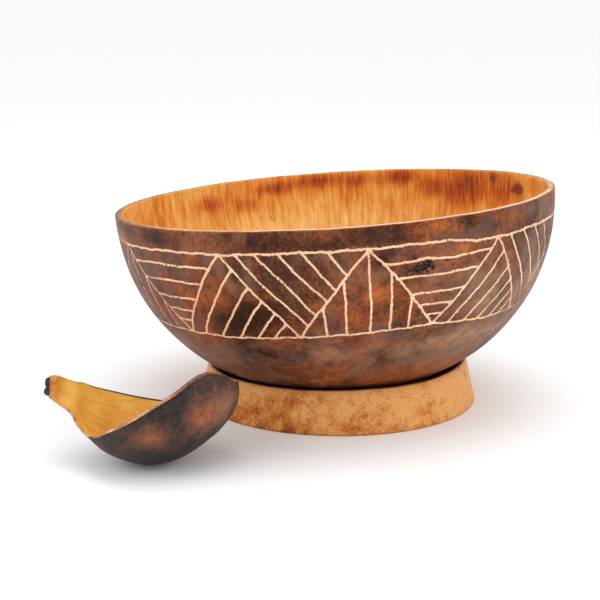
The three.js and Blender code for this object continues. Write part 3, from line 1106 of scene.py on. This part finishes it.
def scoop_cut():
    """The scoop's cut edge: cream to brown, rosy by the tip, dark at the far side, tan by the neck."""
    shader = Shader("scoop_cut", 0.25)
    rub = shader.noise(90, 4, 0.6)
    grit = shader.noise(500, 3, 0.6)
    tone = shader.plus(0.0, (rub, 0.6), (grit, 0.4))
    colour = shader.ramp(
        tone, (0.36, 0.2, 0.08, 0.04), (0.5, 0.46, 0.22, 0.1), (0.62, 0.74, 0.46, 0.25))
    along, across = shader.attributes("along", "across")
    rubbed = shader.rise(along, 8.0, 26.0)
    rosy = shader.ramp(tone, (0.36, 0.12, 0.045, 0.032), (0.62, 0.36, 0.15, 0.1))
    colour = shader.mix(rubbed, colour, rosy)
    far_side = shader.rise(across, 0.0, -40.0)
    body = shader.rise(along, -54.0, -46.0)
    colour = shader.mix(shader.times(far_side, body), colour, (0.11, 0.065, 0.038))
    tan = shader.ramp(tone, (0.36, 0.36, 0.12, 0.03), (0.62, 0.62, 0.29, 0.09))
    colour = shader.mix(shader.rise(along, -48.0, -55.0), colour, tan)
    roughness = shader.plus(0.55, (grit, 0.2))
    return shader.finish(colour, roughness, tone, 0.0004, 0.5)


def scoop_flesh():
    """The scoop's golden inside, with scraping marks along it."""
    shader = Shader("scoop_flesh", 0.3)
    along, across = shader.attributes("along", "across")
    grain = shader.vector(shader.times(along, 0.07), shader.times(across, 0.35), 0.0)
    scrape = shader.noise(1.0, 4, 0.6, 0.3, where=grain)
    clouds = shader.noise(30, 4, 0.6)
    pores = shader.noise(700, 2, 0.5)
    neck = shader.rise(along, -50.0, -58.0)
    tone = shader.plus(0.0, (scrape, 0.45), (clouds, 0.45), (pores, 0.1), (neck, -0.14))
    colour = shader.ramp(
        tone, (0.3, 0.5, 0.17, 0.03), (0.42, 0.67, 0.31, 0.045), (0.52, 0.76, 0.42, 0.07),
        (0.68, 0.82, 0.54, 0.14))
    roughness = shader.plus(0.45, (scrape, 0.2))
    relief = shader.plus(0.0, (scrape, 0.6), (pores, 0.2))
    return shader.finish(colour, roughness, relief, 0.0004, 0.5)


def stalk_wood():
    """Dry, almost black stalk, greyer on its high spots."""
    shader = Shader("stalk_wood", 0.25)
    bark = shader.noise(480, 5, 0.7)
    clumps = shader.noise(160, 3, 0.6)
    tone = shader.plus(0.0, (bark, 0.6), (clumps, 0.4))
    colour = shader.ramp(
        tone, (0.35, 0.008, 0.007, 0.006), (0.52, 0.03, 0.024, 0.02), (0.68, 0.1, 0.075, 0.06))
    roughness = shader.plus(0.6, (bark, 0.3))
    return shader.finish(colour, roughness, tone, 0.0008, 0.8)


# ------------------------ studio

def make_floor():
    """A plain pale floor."""
    shader = Shader("floor_paper", 0.1, roughness=0.9)
    shader.put(FLOOR_COLOUR, shader.surface.inputs["Base Color"])
    half = FLOOR_HALF / MM
    corners = np.array([(-half, -half, 0), (half, -half, 0), (half, half, 0), (-half, half, 0)])
    floor = make_piece("studio_floor", corners, [[0, 1, 2, 3]], [shader.material], [0], {})
    floor.location.z = -FLOOR_GAP
    floor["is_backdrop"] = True


def make_light(name, place, size, power):
    """A square soft box that faces the middle of the set."""
    light = bpy.data.lights.new(name, "AREA")
    light.shape = "SQUARE"
    light.size = size
    light.energy = power
    lamp = bpy.data.objects.new(name, light)
    lamp.location = place
    aim = Vector(LIGHT_TARGET) - Vector(place)
    lamp.rotation_euler = aim.to_track_quat("-Z", "Y").to_euler()
    bpy.context.scene.collection.objects.link(lamp)


def make_world():
    """Even white light from all round."""
    world = bpy.data.worlds.new("studio")
    world.use_nodes = True
    background = world.node_tree.nodes["Background"]
    background.inputs["Color"].default_value = (1, 1, 1, 1)
    background.inputs["Strength"].default_value = WORLD_STRENGTH
    bpy.context.scene.world = world


def make_camera():
    """The camera, in front and a little above."""
    data = bpy.data.cameras.new("camera")
    data.lens = CAMERA_LENS
    data.sensor_width = SENSOR_WIDTH
    camera = bpy.data.objects.new("camera", data)
    camera.location = Vector((ORIGIN + CAMERA_PLACE) * MM)
    camera.rotation_euler = (math.pi / 2 - CAMERA_PITCH, 0, 0)
    bpy.context.scene.collection.objects.link(camera)
    bpy.context.scene.camera = camera


def make_studio():
    """Floor, light and camera."""
    make_floor()
    make_world()
    for light in LIGHTS:
        make_light(*light)
    make_camera()
    bpy.context.scene.view_settings.view_transform = "Standard"


def write_size():
    """Gathers the CAD box and the visual model's box as lists, and leaves them unused."""
    corners = {"cad": CAD_BOUNDS, "visual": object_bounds()}
    lists = {name: [list(point) for point in pair] for name, pair in corners.items()}


make_bowl(bowl_skin(), bowl_lip(), bowl_flesh())
make_ring(ring_gourd())
make_scoop(scoop_skin(), scoop_cut(), scoop_flesh())
make_stem(stalk_wood())
make_studio()
write_size()
